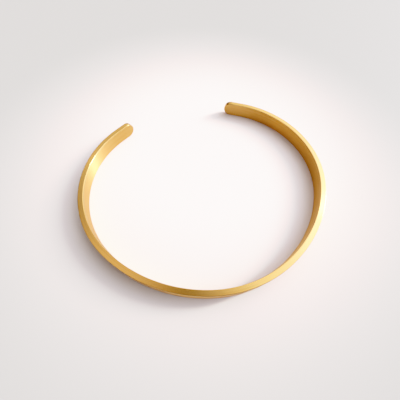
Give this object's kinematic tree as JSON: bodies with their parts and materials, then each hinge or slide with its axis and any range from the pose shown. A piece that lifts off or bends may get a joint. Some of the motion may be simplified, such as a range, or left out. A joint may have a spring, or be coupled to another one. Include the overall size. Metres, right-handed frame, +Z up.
{
  "type": "open cuff bangle",
  "caption": "Open oval cuff bangle bent from a narrow flat metal strip, with rounded ends and softly eased edges, in satin gold.",
  "frame": {"origin": "on the surface that the bangle lies on, under the middle of the box that it fits in", "axes": "+X across the wrist, the bangle's widest way; +Y from its closed back towards the gap between its ends; +Z up, square to the plane that it is bent in"},
  "size_m": [0.0626, 0.0532, 0.004],
  "materials": {
    "satin_gold": "satin, brushed lightly along the strip"
  },
  "bodies": {
    "root": {"cuff_band": "satin_gold"}
  },
  "joints": []
}
